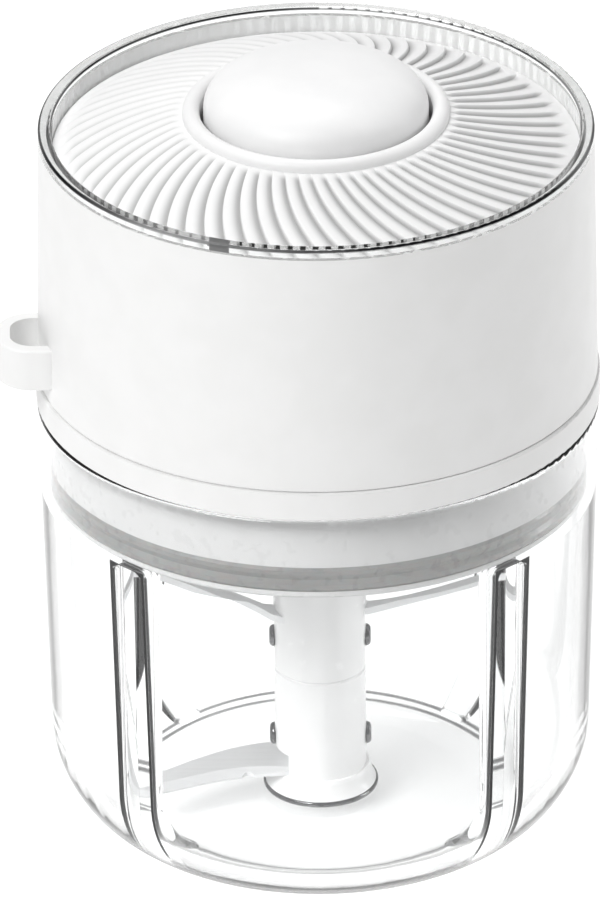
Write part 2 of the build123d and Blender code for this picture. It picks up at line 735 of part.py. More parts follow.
with BuildPart() as chassis:
    with BuildSketch(Plane.XY.offset(CHASSIS_Z)):
        Circle(36.6)
    extrude(amount=MOTOR_Z - CHASSIS_Z)
    with BuildSketch(Plane.XY.offset(CUP_FLOOR_Z)):
        with Locations((-CELL_X, 0), (CELL_X, 0)):
            Circle(CELL_R + 0.95)
    extrude(amount=MOTOR_Z + 3 - CUP_FLOOR_Z)
    with BuildSketch(Plane.XY.offset(CELL_Z)):
        with Locations((-CELL_X, 0), (CELL_X, 0)):
            Circle(CELL_R)
    extrude(amount=20, mode=Mode.SUBTRACT)
    with BuildSketch(Plane.XY.offset(MOTOR_Z)):
        with PolarLocations(POST_R, 4, start_angle=45):
            Circle(2.4)
    extrude(amount=BOARD_Z - MOTOR_Z)
    with BuildSketch(Plane.XY.offset(BOARD_Z)):
        with PolarLocations(POST_R, 4, start_angle=45):
            Circle(1.0)
    extrude(amount=-6, mode=Mode.SUBTRACT)
    with BuildSketch(Plane.XY.offset(CHASSIS_Z)):
        Circle(4.45)
        with PolarLocations(MOTOR_SCREW_R, 2):
            Circle(1.35)
        for spot in SCREW_SPOTS:
            with PolarLocations(SCREW_R, 1, start_angle=spot):
                Circle(1.35)
    extrude(amount=MOTOR_Z - CHASSIS_Z, mode=Mode.SUBTRACT)
    with BuildSketch(Plane.XZ.offset(-28.6)):
        with Locations((0, (MOTOR_Z + SOCKET_Z) / 2 + 3)):
            Rectangle(18, SOCKET_Z - MOTOR_Z + 6)
    extrude(amount=-2.6)
save(chassis, "chassis")

with BuildPart() as chassis_screws:
    for spot in SCREW_SPOTS:
        with BuildSketch(Plane.XY.offset(MOTOR_Z)):
            with PolarLocations(SCREW_R, 1, start_angle=spot):
                Circle(2.2)
        extrude(amount=1.6)
        with BuildSketch(Plane.XY.offset(MOTOR_Z)):
            with PolarLocations(SCREW_R, 1, start_angle=spot):
                Circle(SCREW_SHANK_R)
        extrude(amount=-8.6)
        with BuildSketch(Plane.XY.offset(MOTOR_Z + 1.6)):
            with PolarLocations(SCREW_R, 1, start_angle=spot):
                Rectangle(2.8, 0.5)
                Rectangle(0.5, 2.8)
        extrude(amount=-0.8, mode=Mode.SUBTRACT)
save(chassis_screws, "chassis_screws")

with BuildPart() as battery_cells:
    for side in (-1, 1):
        with BuildSketch(Plane.XY.offset(CELL_Z)):
            with Locations((side * CELL_X, 0)):
                Circle(CELL_R)
        extrude(amount=CELL_H)
        with BuildSketch(Plane.XY.offset(CELL_Z + CELL_H)):
            with Locations((side * CELL_X, 0)):
                Circle(3.2)
        extrude(amount=0.9)
save(battery_cells, "battery_cells")

with BuildPart() as motor_can:
    with BuildSketch(Plane.XY.offset(MOTOR_Z)):
        Circle(MOTOR_R)
    extrude(amount=MOTOR_TOP_Z - MOTOR_Z)
    fillet(motor_can.edges().group_by(Axis.Z)[0], radius=1.0)
    with BuildSketch(Plane.XY.offset(MOTOR_Z - 1.4)):
        Circle(4.4)
    extrude(amount=1.4)
    with BuildSketch(Plane.XY.offset(MOTOR_Z + 1.2)):
        Circle(MOTOR_R - MOTOR_WALL)
    extrude(amount=40, mode=Mode.SUBTRACT)
    with BuildSketch(Plane.XY.offset(MOTOR_Z - 2)):
        Circle(MOTOR_SHAFT_R + 0.05)
        with PolarLocations(MOTOR_SCREW_R, 2):
            Circle(1.0)
    extrude(amount=6, mode=Mode.SUBTRACT)
save(motor_can, "motor_can")

with BuildPart() as motor_magnets:
    with BuildSketch(Plane.XY.offset(MOTOR_Z + 4)):
        ring_sketch(MOTOR_R - MOTOR_WALL, MOTOR_R - 2.7)
        Rectangle(30, 7, mode=Mode.SUBTRACT)
    extrude(amount=18)
save(motor_magnets, "motor_magnets")

with BuildPart() as motor_end_cap:
    with BuildSketch(Plane.XY.offset(MOTOR_TOP_Z)):
        Circle(MOTOR_R)
    extrude(amount=1.6)
    chamfer(motor_end_cap.edges().group_by(Axis.Z)[-1], length=0.4)
    with BuildSketch(Plane.XY.offset(MOTOR_TOP_Z)):
        Circle(MOTOR_SHAFT_R + 0.05)
    extrude(amount=4, mode=Mode.SUBTRACT)
save(motor_end_cap, "motor_end_cap")

with BuildPart() as motor_screws:
    with BuildSketch(Plane.XY.offset(CHASSIS_Z)):
        with PolarLocations(MOTOR_SCREW_R, 2):
            Circle(1.0)
    extrude(amount=4.2)
save(motor_screws, "motor_screws")

with BuildPart() as motor_rotor:
    with BuildSketch(Plane.XY.offset(ROTOR_FOOT_Z)):
        Circle(MOTOR_SHAFT_R)
    extrude(amount=MOTOR_TOP_Z + 1.2 - ROTOR_FOOT_Z)
    with BuildSketch(Plane.XY.offset(MOTOR_Z + 5)):
        Circle(9.0)
        with PolarLocations(8.0, 5):
            Rectangle(3.2, 1.6, mode=Mode.SUBTRACT)
    extrude(amount=14)
    with BuildSketch(Plane.XY.offset(MOTOR_Z + 20)):
        Circle(3.6)
    extrude(amount=4.5)
save(motor_rotor, "motor_rotor")

# ---- head: planetary gear set, output shaft and driver -------------------------------------------
PLANET_ORBIT = GEAR_MODULE * (SUN_TEETH + PLANET_TEETH) / 2
TOOTH_GAP = 0.07


def tooth_angles(teeth, radius, internal):
    """Half angle of a tooth at a radius, from an involute of a 20 degree rack, with backlash."""
    pitch_r = GEAR_MODULE * teeth / 2
    base_r = pitch_r * math.cos(math.radians(20))
    at_pitch = math.pi / (2 * teeth) - TOOTH_GAP / pitch_r
    pressure = math.acos(min(1.0, base_r / radius))
    involute = math.tan(pressure) - pressure
    reference = math.tan(math.radians(20)) - math.radians(20)
    if internal:
        return at_pitch - reference + involute
    return at_pitch + reference - involute


def polar(radius, angle):
    return (radius * math.cos(angle), radius * math.sin(angle))


def tooth_face(teeth, root_r, tip_r, internal, phase):
    """One tooth, from just inside its root to its tip, centred on phase."""
    radii = [root_r + (tip_r - root_r) * step / 3 for step in range(4)]
    if internal:
        radii = [root_r - (root_r - tip_r) * step / 3 for step in range(4)]
    right = [polar(r, phase - tooth_angles(teeth, r, internal)) for r in radii]
    left = [polar(r, phase + tooth_angles(teeth, r, internal)) for r in reversed(radii)]
    with BuildLine() as outline:
        Polyline(*right, *left, close=True)
    make_face(outline.edges())


def outer_gear(teeth, phase_deg):
    """Sketch of a spur gear with a tooth centred on phase_deg."""
    pitch_r = GEAR_MODULE * teeth / 2
    root_r = pitch_r - 1.25 * GEAR_MODULE
    Circle(root_r + 0.02)
    for tooth in range(teeth):
        phase = math.radians(phase_deg) + 2 * math.pi * tooth / teeth
        tooth_face(teeth, root_r, pitch_r + 0.95 * GEAR_MODULE, False, phase)


with BuildPart() as sun_pinion:
    with BuildSketch(Plane.XY.offset(GEAR_Z)):
        outer_gear(SUN_TEETH, 0)
        Circle(MOTOR_SHAFT_R, mode=Mode.SUBTRACT)
    extrude(amount=GEAR_FACE + 0.8)
save(sun_pinion, "sun_pinion")

for index in range(PLANET_COUNT):
    heading = 360 / PLANET_COUNT * index
    with BuildPart() as planet_gear:
        centre = polar(PLANET_ORBIT, math.radians(heading))
        with BuildSketch(Plane(origin=(centre[0], centre[1], GEAR_Z))):
            outer_gear(PLANET_TEETH, heading)
            Circle(1.05, mode=Mode.SUBTRACT)
        extrude(amount=GEAR_FACE)
    save(planet_gear, f"planet_gear_{index + 1}")

RING_OUT_R = 15.2
RING_PITCH_R = GEAR_MODULE * RING_TEETH / 2
RING_ROOT_R = RING_PITCH_R + 1.25 * GEAR_MODULE
RING_TIP_R = RING_PITCH_R - 0.9 * GEAR_MODULE
RING_ROOF = 0.8

with BuildPart() as ring_gear:
    with BuildSketch(Plane.XY.offset(RING_FOOT_Z)):
        ring_sketch(RING_OUT_R, RING_ROOT_R)
    extrude(amount=CHASSIS_Z - RING_FOOT_Z)
    with BuildSketch(Plane.XY.offset(CHASSIS_Z - RING_ROOF)):
        ring_sketch(RING_OUT_R, 4.8)
    extrude(amount=RING_ROOF)
    with BuildSketch(Plane.XY.offset(GEAR_Z - 0.2)):
        for tooth in range(RING_TEETH):
            mid_tooth = 2 * math.pi * (tooth + 0.5) / RING_TEETH
            tooth_face(RING_TEETH, RING_ROOT_R + 0.1, RING_TIP_R, True, mid_tooth)
    extrude(amount=CHASSIS_Z - RING_ROOF - GEAR_Z + 0.2)
save(ring_gear, "ring_gear")

with BuildPart() as planet_pins:
    with BuildSketch(Plane.XY.offset(CARRIER_Z)):
        with PolarLocations(PLANET_ORBIT, PLANET_COUNT):
            Circle(1.0)
    extrude(amount=6.3)
save(planet_pins, "planet_pins")

with BuildPart() as planet_carrier:
    with BuildSketch(Plane.XY.offset(CARRIER_Z)):
        ring_sketch(11.6, SHAFT_R)
    extrude(amount=CARRIER_T)
    add(planet_pins.part, mode=Mode.SUBTRACT)
save(planet_carrier, "planet_carrier")

with BuildPart() as output_shaft:
    with BuildSketch(Plane.XY.offset(SHAFT_FOOT_Z)):
        Circle(SHAFT_R)
    extrude(amount=CARRIER_Z + 1.4 - SHAFT_FOOT_Z)
    chamfer(output_shaft.edges().group_by(Axis.Z)[0], length=0.4)
save(output_shaft, "output_shaft")

with BuildPart() as gearbox_cover:
    with BuildSketch(Plane.XY.offset(PLUG_PAN_Z)):
        ring_sketch(RING_OUT_R, BUSH_R)
    extrude(amount=RING_FOOT_Z - PLUG_PAN_Z)
save(gearbox_cover, "gearbox_cover")

with BuildPart() as output_bush:
    with BuildSketch(Plane.XY.offset(PLUG_PAN_Z)):
        ring_sketch(BUSH_R, SHAFT_R + RUNNING_GAP)
    extrude(amount=RING_FOOT_Z - PLUG_PAN_Z)
save(output_bush, "output_bush")

with BuildPart() as shaft_seal:
    with BuildSketch(Plane.XY.offset(PLUG_FOOT_Z + 0.2)):
        ring_sketch(SHAFT_BORE_R, SHAFT_R + 0.05)
    extrude(amount=PLUG_WALL - 0.2)
save(shaft_seal, "shaft_seal")

with BuildPart() as drive_coupler:
    with BuildSketch(Plane.XY.offset(DRIVER_FOOT_Z)):
        RegularPolygon(HEX_HALF - 0.3, 6, major_radius=False)
    extrude(amount=DRIVER_H)
    chamfer(drive_coupler.edges().group_by(Axis.Z)[0], length=0.5)
    add(output_shaft.part, mode=Mode.SUBTRACT)
save(drive_coupler, "drive_coupler")
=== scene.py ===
# %% [markdown]
# # A small rechargeable food processor, dressed for a studio render
#
# The shapes of this object were drawn in a CAD program and packed with their joints. Blender's work
# is the surfaces: a clear bowl with thick ribs, a satin white motor head, a swirl of fine vanes round
# a soft button, and a ground steel blade unit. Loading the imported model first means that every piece
# already stands in its true place, in metres, and that nothing here has to be fitted by eye.

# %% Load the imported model
import json
import math

import bpy
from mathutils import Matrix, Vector


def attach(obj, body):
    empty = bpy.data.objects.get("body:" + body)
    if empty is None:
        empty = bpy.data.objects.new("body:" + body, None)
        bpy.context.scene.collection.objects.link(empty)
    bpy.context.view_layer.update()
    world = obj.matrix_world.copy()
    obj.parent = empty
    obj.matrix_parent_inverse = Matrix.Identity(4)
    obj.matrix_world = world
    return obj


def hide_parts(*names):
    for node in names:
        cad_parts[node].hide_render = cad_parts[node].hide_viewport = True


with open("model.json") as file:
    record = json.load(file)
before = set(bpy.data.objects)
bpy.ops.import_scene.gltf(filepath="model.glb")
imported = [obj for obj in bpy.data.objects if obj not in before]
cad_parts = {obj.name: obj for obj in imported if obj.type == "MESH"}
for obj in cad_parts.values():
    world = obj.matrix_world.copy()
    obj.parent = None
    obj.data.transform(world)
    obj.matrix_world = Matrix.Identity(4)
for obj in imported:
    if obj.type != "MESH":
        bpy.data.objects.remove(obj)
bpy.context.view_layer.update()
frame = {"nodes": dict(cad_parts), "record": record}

nodes = frame["nodes"]

# %% [markdown]
# ## Smooth shading
#
# The CAD surfaces arrive as small flat facets. Turned and moulded walls should flow, while the edges
# between them should stay crisp. Blender can smooth everything, or leave everything flat; the middle
# way is to smooth every face and mark as sharp only the edges that turn by more than about thirty
# degrees, which changes no vertex.

# %% Shade the CAD pieces by angle
CREASE = math.radians(28)


def shade_by_angle(mesh):
    """Smooth every face and keep the corners sharper than CREASE."""
    for face in mesh.polygons:
        face.use_smooth = True
    mesh.set_sharp_from_angle(angle=CREASE)


for node in nodes.values():
    shade_by_angle(node.data)
print("shaded", len(nodes), "pieces by angle")

# %% [markdown]
# ## Starting a finish
#
# Every finish below is one Principled shader with a few texture nodes in front of it. Writing the
# same five lines for each would be dull, so a small class makes the material and has short methods
# that add nodes, join them and set their sockets by name. The textures read object coordinates: these
# pieces keep their place in their mesh, so one unit is one metre, and a grain of half a millimetre is
# a scale of 2000.

# %% Helpers for node materials
finishes = {}


class Finish:
    """A new material with its Principled shader, and short ways to add and join nodes."""

    def __init__(self, name):
        self.material = bpy.data.materials.new(name)
        self.material.use_nodes = True
        self.tree = self.material.node_tree
        self.shader = self.tree.nodes["Principled BSDF"]
        self.place = self.add("ShaderNodeTexCoord").outputs["Object"]
        finishes[name] = self.material

    def add(self, kind, settings=None, **sockets):
        """Add a node, set its properties and its input sockets, and return it."""
        node = self.tree.nodes.new(kind)
        for key, value in (settings or {}).items():
            setattr(node, key, value)
        for key, value in sockets.items():
            by_number = key[0] == "i" and key[1:].isdigit()
            socket = node.inputs[int(key[1:]) if by_number else key]
            if isinstance(value, bpy.types.NodeSocket):
                self.tree.links.new(value, socket)
            else:
                socket.default_value = value
        return node

    def feed(self, output, name):
        """Join an output to one of the shader's own sockets."""
        self.tree.links.new(output, self.shader.inputs[name])

    def fixed(self, **values):
        """Set values that are the same all over the surface."""
        for key, value in values.items():
            self.shader.inputs[key.replace("_", " ")].default_value = value

    def calc(self, operation, a, b=0.0, clamp=False):
        """One Math node: a and b are numbers or outputs."""
        node = self.add("ShaderNodeMath", {"operation": operation, "use_clamp": clamp}, i0=a, i1=b)
        return node.outputs[0]

    def all_of(self, *masks):
        """Masks multiplied: 1 only where every one of them is 1."""
        result = masks[0]
        for mask in masks[1:]:
            result = self.calc("MULTIPLY", result, mask)
        return result

    def any_of(self, *masks):
        """The highest of some masks: 1 where any one of them is 1."""
        result = masks[0]
        for mask in masks[1:]:
            result = self.calc("MAXIMUM", result, mask)
        return result

    def cylinder_place(self):
        """X, Y and Z of the place, and its distance from the upright axis."""
        x, y, z = self.add("ShaderNodeSeparateXYZ", Vector=self.place).outputs
        flat = self.add("ShaderNodeCombineXYZ", X=x, Y=y).outputs[0]
        length = self.add("ShaderNodeVectorMath", {"operation": "LENGTH"}, i0=flat)
        return x, y, z, length.outputs["Value"]

    def facing(self):
        """0 where the surface faces the eye, 1 where it turns away: the edge of round glass."""
        return self.add("ShaderNodeLayerWeight", Blend=0.5).outputs["Facing"]

    def ramp(self, value, low, high, start=0.0, end=1.0):
        """A smooth step of value between low and high, from start to end."""
        node = self.add("ShaderNodeMapRange", {"interpolation_type": "SMOOTHSTEP"})
        self.tree.links.new(value, node.inputs["Value"])
        for key, number in zip(("From Min", "From Max", "To Min", "To Max"), (low, high, start, end)):
            node.inputs[key].default_value = number
        return node.outputs["Result"]

    def noise(self, scale, detail=2.0, stretch=None):
        """Noise in the piece's own space; stretch pulls it out along an axis."""
        place = self.place
        if stretch:
            place = self.add("ShaderNodeMapping", Vector=place, Scale=stretch).outputs[0]
        return self.add("ShaderNodeTexNoise", Vector=place, Scale=scale, Detail=detail).outputs["Fac"]

    def colours(self, value, dark, light):
        """A colour between dark and light, chosen by value."""
        node = self.add("ShaderNodeMix", {"data_type": "RGBA"})
        self.tree.links.new(value, node.inputs["Factor"])
        from_socket, to_socket = [socket for socket in node.inputs if socket.type == "RGBA"]
        from_socket.default_value = (*dark, 1)
        to_socket.default_value = (*light, 1)
        return next(out for out in node.outputs if out.type == "RGBA")

    def shade(self, share, colour):
        """Move the base colour made so far towards another colour, by share."""
        before = self.shader.inputs["Base Color"].links[0].from_socket
        mixed = self.colours(share, colour, colour)
        first_colour = next(socket for socket in mixed.node.inputs if socket.type == "RGBA")
        self.tree.links.new(before, first_colour)
        self.feed(mixed, "Base Color")

    def relief(self, height, depth):
        """Bump of that depth in metres from a height between 0 and 1."""
        node = self.add("ShaderNodeBump", Height=height, Strength=1.0, Distance=depth)
        self.feed(node.outputs[0], "Normal")


print("helpers ready")

# %% [markdown]
# ## Moulded white plastic
#
# The head, the deck, the button and the hub are injection moulded. The mould is spark eroded, so the
# skin has a grain far below a millimetre, and as the plastic cools it mottles very slightly over a
# few millimetres. A flat white would look like paper. Two noises do it: a coarse one moves colour
# and roughness by a percent or two, and a fine one is the grain in the bump. One function makes all
# the whites, because they differ only in a few numbers: how pale, how glossy and how deeply grained.
# The plug that hangs inside the bowl is a good deal greyer than the others: that grey is painted
# shade, for the shade the plug hangs in inside the bowl.

# %% The whites
def moulded(name, dark, light, rough, spread, grain_scale=2600, grain_depth=0.000006):
    """Injection moulded plastic: mottled colour, uneven gloss and a spark eroded grain."""
    finish = Finish(name)
    mottle = finish.noise(160, 3)
    finish.feed(finish.colours(finish.ramp(mottle, 0.3, 0.7), dark, light), "Base Color")
    patches = finish.noise(420, 4)
    finish.feed(finish.ramp(patches, 0.25, 0.75, rough - spread, rough + spread), "Roughness")
    finish.relief(finish.noise(grain_scale, 1), grain_depth)
    return finish


shell = moulded("satin_white_shell", (0.79, 0.79, 0.785), (0.81, 0.81, 0.807), 0.42, 0.05)
shell.fixed(Specular_IOR_Level=0.4)
deck_white = moulded("fine_white_deck", (0.82, 0.82, 0.82), (0.84, 0.84, 0.84), 0.5, 0.05,
                     grain_scale=3000, grain_depth=0.000004)
button_white = moulded("soft_white_button", (0.82, 0.82, 0.822), (0.845, 0.845, 0.845), 0.5, 0.06,
                       grain_scale=3400)
button_white.fixed(Coat_Weight=0.12, Coat_Roughness=0.35)
# painted shade: the white plug is greyed for the shade it hangs in inside the bowl
moulded("plug_white_painted_shade", (0.58, 0.58, 0.58), (0.60, 0.60, 0.60), 0.3, 0.05,
        grain_scale=2000, grain_depth=0.000003)
moulded("gloss_white_hub", (0.84, 0.84, 0.84), (0.86, 0.86, 0.86), 0.24, 0.04,
        grain_scale=1800, grain_depth=0.000003)
print("white finishes:", list(finishes))

# %% [markdown]
# ## The clear bowl
#
# The bowl is clear moulded plastic, about two millimetres thick, with ribs that turn the food back
# into the blades. Clear plastic in a white room is almost invisible: what the eye reads is the dark
# lines where a thick edge sends light away sideways. Refraction alone can't give those lines when the
# whole room is white. Black cards beside the object could, but they would also be seen through the
# bowl. So the plastic itself turns dark and opaque in thin lines, by a mask worked out from the place
# on the bowl. Its own surface reflection is kept low, because a mirrored white room would turn the
# dark lines grey.

# %% Clear plastic that a mask can darken
MM = 0.001
NEARLY_BLACK = (0.004, 0.004, 0.005)


def clear_plastic(name, tint):
    """Polished clear plastic, ready for a mask."""
    finish = Finish(name)
    finish.fixed(IOR=1.46, Specular_IOR_Level=0.06)
    finish.tint = tint
    flow = finish.noise(90, 3)
    finish.feed(finish.ramp(flow, 0.3, 0.7, 0.008, 0.03), "Roughness")
    return finish


def darken(finish, mask):
    """Where mask is 1 the plastic is nearly black and lets no light through."""
    finish.feed(finish.colours(mask, finish.tint, NEARLY_BLACK), "Base Color")
    finish.feed(finish.calc("SUBTRACT", 1.0, mask, clamp=True), "Transmission Weight")


bowl_clear = clear_plastic("clear_bowl", (0.985, 0.99, 0.99))
across, depth, height, radius = bowl_clear.cylinder_place()
print("clear plastic with an index of", round(bowl_clear.shader.inputs["IOR"].default_value, 2))

# %% [markdown]
# ### Four ribs as one
#
# The ribs stand on the diagonals of the plan. Absolute values fold the plan into one quarter, and a
# turn by 45 degrees then gives two handy measures: how far outward a point lies along the nearest
# rib, and how far aside of the rib's middle. One mask then serves all four ribs. The other way, a mask
# for each rib, would need four times the nodes.

# %% Fold the plan onto one rib
DIAGONAL = math.sqrt(0.5)
fold_x = bowl_clear.calc("ABSOLUTE", across)
fold_y = bowl_clear.calc("ABSOLUTE", depth)
outward = bowl_clear.calc("MULTIPLY", bowl_clear.calc("ADD", fold_x, fold_y), DIAGONAL)
aside = bowl_clear.calc("MULTIPLY", bowl_clear.calc("SUBTRACT", fold_y, fold_x), DIAGONAL)
aside = bowl_clear.calc("ABSOLUTE", aside)
print("plan folded with", len(bowl_clear.tree.nodes), "nodes so far")

# %% [markdown]
# ### The wall behind the rib
#
# Each dark line sits at the root of a flank, where the rib grows out of the wall. So the shader has
# to know where the wall is at every height: a straight wall that leans out a little, above a heel
# that is a quarter of an ellipse. The root is what is left between that wall and the point.

# %% Distance from the wall
HEEL_TOP = 16.5 * MM
HEEL_REACH = 8.85 * MM
WALL_LEAN = 0.044
FLOOR_TOP = 4.0 * MM
FLOOR_EDGE = 28.9 * MM

below_heel = bowl_clear.calc("SUBTRACT", HEEL_TOP, height)
sunk = bowl_clear.calc("DIVIDE", below_heel, HEEL_TOP - FLOOR_TOP, clamp=True)
left_over = bowl_clear.calc("SUBTRACT", 1.0, bowl_clear.calc("MULTIPLY", sunk, sunk), clamp=True)
bulge = bowl_clear.calc("MULTIPLY", bowl_clear.calc("SQRT", left_over), HEEL_REACH)
lean = bowl_clear.calc("MULTIPLY", bowl_clear.calc("SUBTRACT", height, HEEL_TOP), WALL_LEAN)
wall_at = bowl_clear.calc("ADD", bulge, FLOOR_EDGE)
wall_at = bowl_clear.calc("ADD", wall_at, bowl_clear.calc("MAXIMUM", lean, 0.0))
root = bowl_clear.calc("SUBTRACT", wall_at, outward)
print("wall radius in mm at the heel's top:", round(1000 * (FLOOR_EDGE + HEEL_REACH), 2))

# %% Dark lines of the ribs
RIB_HALF = 2.9 * MM
RIB_TOP = 55.6 * MM

flank = bowl_clear.ramp(aside, RIB_HALF - 0.3 * MM, RIB_HALF - 0.1 * MM)
crown = bowl_clear.ramp(height, RIB_TOP - 0.9 * MM, RIB_TOP - 0.6 * MM)
rib_mask = bowl_clear.all_of(
    bowl_clear.any_of(flank, crown),
    bowl_clear.ramp(aside, RIB_HALF + 0.45 * MM, RIB_HALF + 0.6 * MM, 1.0, 0.0),
    bowl_clear.ramp(root, 1.1 * MM, 1.4 * MM, 1.0, 0.0),
    bowl_clear.ramp(root, -0.5 * MM, -0.2 * MM),
    bowl_clear.ramp(height, RIB_TOP + 0.1 * MM, RIB_TOP + 0.3 * MM, 1.0, 0.0),
    bowl_clear.ramp(height, FLOOR_TOP + 0.2 * MM, FLOOR_TOP + 1.0 * MM),
)
print("rib lines from", RIB_HALF - 0.3 * MM, "m aside of the middle")

# %% [markdown]
# ### Floor and outline
#
# Two more lines make the bowl readable. A thin ring marks where the floor turns up into the wall, and
# the outline darkens where the wall turns away from the eye, most of all in the rounded heel. The
# outline uses Facing, so it follows the eye round the bowl as it does on real glass. The top of the
# floor disc is greyed by a tenth: painted shade for the dim light under the bowl, together with what
# the thick disc absorbs.

# %% Floor ring, outline and floor
FLOOR_PAINTED_SHADE = 0.10

floor_ring = bowl_clear.all_of(
    bowl_clear.ramp(radius, FLOOR_EDGE - 0.5 * MM, FLOOR_EDGE - 0.1 * MM),
    bowl_clear.ramp(radius, FLOOR_EDGE + 0.1 * MM, FLOOR_EDGE + 0.5 * MM, 1.0, 0.0),
    bowl_clear.ramp(height, 4.5 * MM, 5.0 * MM, 0.85, 0.0),
)
facing = bowl_clear.facing()
side_line = bowl_clear.ramp(facing, 0.88, 0.99, 0.0, 0.35)
heel_line = bowl_clear.all_of(
    bowl_clear.ramp(facing, 0.66, 0.93),
    bowl_clear.ramp(height, 5.0 * MM, 12.0 * MM, 0.9, 0.0),
)
darken(bowl_clear, bowl_clear.any_of(rib_mask, floor_ring, side_line, heel_line))
on_floor = bowl_clear.all_of(
    bowl_clear.ramp(radius, FLOOR_EDGE - 0.2 * MM, FLOOR_EDGE, 1.0, 0.0),
    bowl_clear.ramp(height, FLOOR_TOP + 0.2 * MM, FLOOR_TOP + 0.4 * MM, 1.0, 0.0),
)
# painted shade: the top of the floor disc is greyed for the dim light under the bowl
bowl_clear.shade(bowl_clear.calc("MULTIPLY", on_floor, FLOOR_PAINTED_SHADE), (0.0, 0.0, 0.0))
print("bowl mask joined from", len(bowl_clear.tree.nodes), "nodes")

# %% [markdown]
# ## The clear rim of the head
#
# A clear ring stands round the deck like the edge of a drinking glass. Its two top edges show as thin
# dark lines, it darkens where it turns away at the sides, and a small dark mark at the front stands
# for a clip. All of these come from a mask, as in the bowl. A little real absorption, a volume node,
# adds what light loses on its way along the ring, which no surface mask can do.

# %% Clear rim
RIM_IN = 39.0 * MM
RIM_OUT = 41.0 * MM
RIM_TOP = 114.0 * MM
CLIP_X = -14.3 * MM
CLIP_HALF = 1.4 * MM

rim_clear = clear_plastic("clear_rim_ring", (0.97, 0.975, 0.975))
across, depth, height, radius = rim_clear.cylinder_place()
top_lines = rim_clear.all_of(
    rim_clear.any_of(
        rim_clear.ramp(radius, RIM_OUT - 0.45 * MM, RIM_OUT - 0.3 * MM),
        rim_clear.ramp(radius, RIM_IN + 0.1 * MM, RIM_IN + 0.25 * MM, 1.0, 0.0),
    ),
    rim_clear.ramp(height, RIM_TOP - 0.55 * MM, RIM_TOP - 0.3 * MM),
    rim_clear.ramp(rim_clear.noise(28, 2), 0.35, 0.65, 0.75, 1.0),
)
from_clip = rim_clear.calc("ABSOLUTE", rim_clear.calc("SUBTRACT", across, CLIP_X))
clip = rim_clear.all_of(
    rim_clear.ramp(from_clip, CLIP_HALF, CLIP_HALF + 0.1 * MM, 0.85, 0.0),
    rim_clear.ramp(depth, -31 * MM, -30 * MM, 1.0, 0.0),
    rim_clear.ramp(height, RIM_TOP - 1.4 * MM, RIM_TOP - 1.2 * MM),
)
ends = rim_clear.ramp(rim_clear.facing(), 0.86, 0.97, 0.0, 0.95)
darken(rim_clear, rim_clear.any_of(top_lines, clip, ends))
long_path = rim_clear.add("ShaderNodeVolumeAbsorption", Color=(0.75, 0.76, 0.76, 1), Density=45.0)
output = next(node for node in rim_clear.tree.nodes if node.type == "OUTPUT_MATERIAL")
rim_clear.tree.links.new(long_path.outputs[0], output.inputs["Volume"])
print("rim clear between", RIM_IN, "and", RIM_OUT)

# %% [markdown]
# ## Silicone
#
# The seal round the plug and the flap over the charging port are silicone: cloudy, a little waxy,
# never sharp in its reflections. Subsurface scattering gives the cloud. The seal is greyer where it is
# pressed against the bowl, and that happens unevenly round the ring, so a slow noise shades it.

# %% Silicone
seal = Finish("cloudy_silicone")
pressed = seal.ramp(seal.noise(34, 2, (1, 1, 0.2)), 0.35, 0.65)
seal.feed(seal.colours(pressed, (0.20, 0.20, 0.197), (0.25, 0.25, 0.245)), "Base Color")
seal.feed(seal.ramp(seal.noise(700, 3), 0.3, 0.7, 0.24, 0.4), "Roughness")
seal.fixed(Subsurface_Weight=0.3, Subsurface_Scale=0.001, Coat_Weight=0.3, Coat_Roughness=0.15)
seal.relief(seal.noise(1500, 2), 0.000008)

cover = Finish("white_silicone")
cloud = cover.ramp(cover.noise(260, 3), 0.3, 0.7)
cover.feed(cover.colours(cloud, (0.74, 0.74, 0.73), (0.79, 0.79, 0.78)), "Base Color")
cover.feed(cover.ramp(cover.noise(900, 3), 0.3, 0.7, 0.5, 0.66), "Roughness")
cover.fixed(Subsurface_Weight=0.15, Subsurface_Scale=0.001)
cover.relief(cover.noise(1900, 2), 0.000012)
print("silicone finishes ready")

# %% [markdown]
# ## Steels and brass
#
# The blades are ground flat on a belt, so fine scratches run one way. The ring under the hub and the
# rivets are turned and polished, the spring is drawn wire, and the screws are zinc plated. A scratch
# is a noise pulled out along one axis: stretched fiftyfold it looks like a grinding line. It goes into
# roughness and bump, and only faintly into colour. Real steel would be fully metallic. The blades are
# less than half metallic here, only because that keeps them pale in this light.

# %% Steels and brass
def metal(name, dark, light, rough, spread, stretch=(1, 1, 1), scale=1800, depth=0.000004):
    """Metal with tool marks: a stretched noise in colour, gloss and relief."""
    finish = Finish(name)
    marks = finish.noise(scale, 4, stretch)
    finish.feed(finish.colours(finish.ramp(marks, 0.25, 0.75), dark, light), "Base Color")
    finish.feed(finish.ramp(marks, 0.25, 0.75, rough + spread, rough - spread), "Roughness")
    finish.fixed(Metallic=1.0)
    finish.relief(marks, depth)
    return finish


ground = metal("ground_blade_steel", (0.76, 0.765, 0.77), (0.80, 0.805, 0.81), 0.34, 0.03,
               stretch=(0.02, 1, 1), scale=2200, depth=0.0000006)
ground.fixed(Metallic=0.45)
